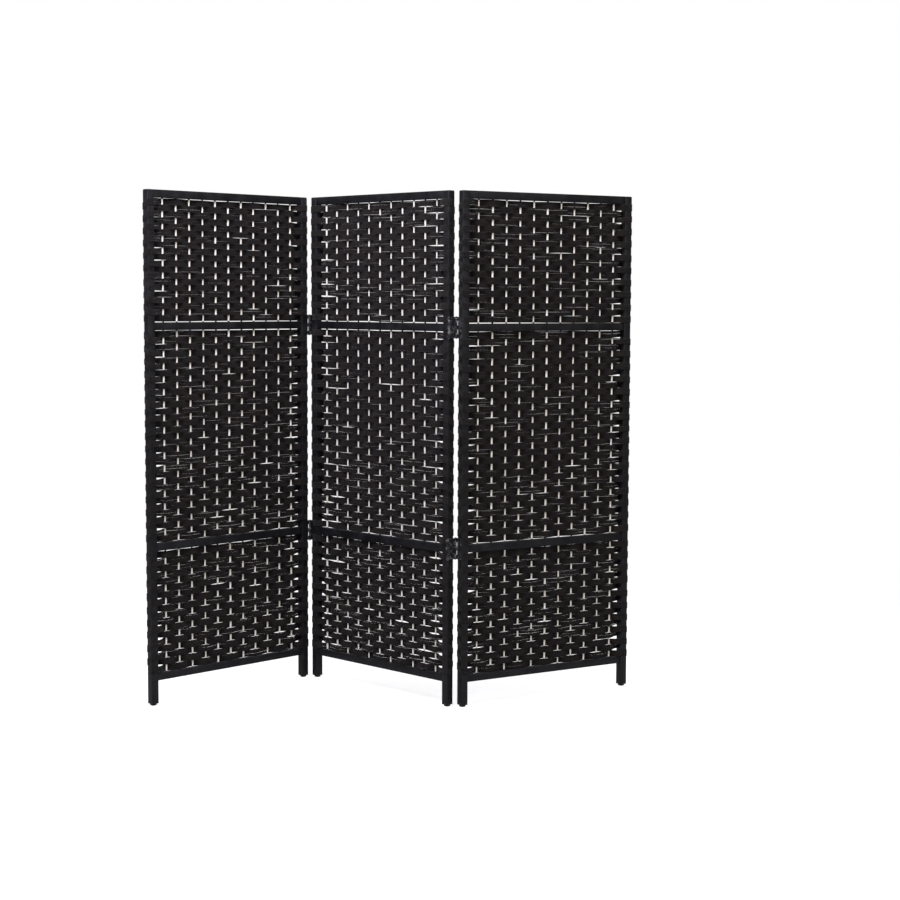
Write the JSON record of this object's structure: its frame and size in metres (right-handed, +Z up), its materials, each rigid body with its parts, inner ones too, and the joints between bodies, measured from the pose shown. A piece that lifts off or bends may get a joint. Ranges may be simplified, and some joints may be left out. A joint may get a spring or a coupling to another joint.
{
  "type": "folding room divider screen",
  "caption": "Free-standing folding room divider: three tall wooden frames woven with dark paper cord over pale upright sticks, joined by double-action hinges.",
  "frame": {"origin": "on the floor, under the middle of the standing screen's bounding box, with the panels folded as they stand", "axes": "+Z up; the front faces -Y; X runs along the standing zigzag, left panel at -X as seen from the front"},
  "size_m": [1.6326, 0.5218, 1.7],
  "materials": {
    "black_painted_wood": "black painted, satin",
    "woven_paper_cord": "twisted paper cord, plain weave, dyed brown-black, matt",
    "natural_stick": "peeled natural wood, matt",
    "beech_dowel": "plain beech",
    "dark_metal": "dark bronzed steel, satin",
    "black_plastic": "moulded, matt"
  },
  "bodies": {
    "centre_panel": {"centre_left_stile": "black_painted_wood", "centre_right_stile": "black_painted_wood", "centre_top_rail": "black_painted_wood", "centre_upper_crossbar": "black_painted_wood", "centre_lower_crossbar": "black_painted_wood", "centre_bottom_rail": "black_painted_wood", "centre_sticks": "natural_stick", "centre_upper_weave": "woven_paper_cord", "centre_middle_weave": "woven_paper_cord", "centre_lower_weave": "woven_paper_cord", "centre_foot_glides": "black_plastic", "centre_frame_dowels": "beech_dowel", "left_upper_back_leaf": "dark_metal", "left_lower_back_leaf": "dark_metal", "right_upper_front_leaf": "dark_metal", "right_lower_front_leaf": "dark_metal", "centre_hinge_screws": "dark_metal"},
    "left_link": {"left_upper_centre_leaf": "dark_metal", "left_lower_centre_leaf": "dark_metal", "left_hinge_pins": "dark_metal"},
    "left_panel": {"left_outer_stile": "black_painted_wood", "left_hinge_stile": "black_painted_wood", "left_top_rail": "black_painted_wood", "left_upper_crossbar": "black_painted_wood", "left_lower_crossbar": "black_painted_wood", "left_bottom_rail": "black_painted_wood", "left_sticks": "natural_stick", "left_upper_weave": "woven_paper_cord", "left_middle_weave": "woven_paper_cord", "left_lower_weave": "woven_paper_cord", "left_foot_glides": "black_plastic", "left_frame_dowels": "beech_dowel", "left_upper_front_leaf": "dark_metal", "left_lower_front_leaf": "dark_metal", "left_hinge_screws": "dark_metal"},
    "right_link": {"right_upper_centre_leaf": "dark_metal", "right_lower_centre_leaf": "dark_metal", "right_hinge_pins": "dark_metal"},
    "right_panel": {"right_hinge_stile": "black_painted_wood", "right_outer_stile": "black_painted_wood", "right_top_rail": "black_painted_wood", "right_upper_crossbar": "black_painted_wood", "right_lower_crossbar": "black_painted_wood", "right_bottom_rail": "black_painted_wood", "right_sticks": "natural_stick", "right_upper_weave": "woven_paper_cord", "right_middle_weave": "woven_paper_cord", "right_lower_weave": "woven_paper_cord", "right_foot_glides": "black_plastic", "right_frame_dowels": "beech_dowel", "right_upper_back_leaf": "dark_metal", "right_lower_back_leaf": "dark_metal", "right_hinge_screws": "dark_metal"}
  },
  "joints": [
    {"name": "left_back_pin", "type": "hinge", "parent": "centre_panel", "child": "left_link", "pos_m": [-0.28036, 0.25668, 0], "axis": [0, 0, 1], "range_deg": [-85, 0]},
    {"name": "left_front_pin", "type": "hinge", "parent": "left_link", "child": "left_panel", "pos_m": [-0.30511, 0.23193, 0], "axis": [0, 0, 1], "range_deg": [-90, 88]},
    {"name": "right_front_pin", "type": "hinge", "parent": "centre_panel", "child": "right_link", "pos_m": [0.1835, -0.25668, 0], "axis": [0, 0, 1], "range_deg": [-85, 0]},
    {"name": "right_back_pin", "type": "hinge", "parent": "right_link", "child": "right_panel", "pos_m": [0.20825, -0.23193, 0], "axis": [0, 0, 1], "range_deg": [-76, 102]}
  ]
}
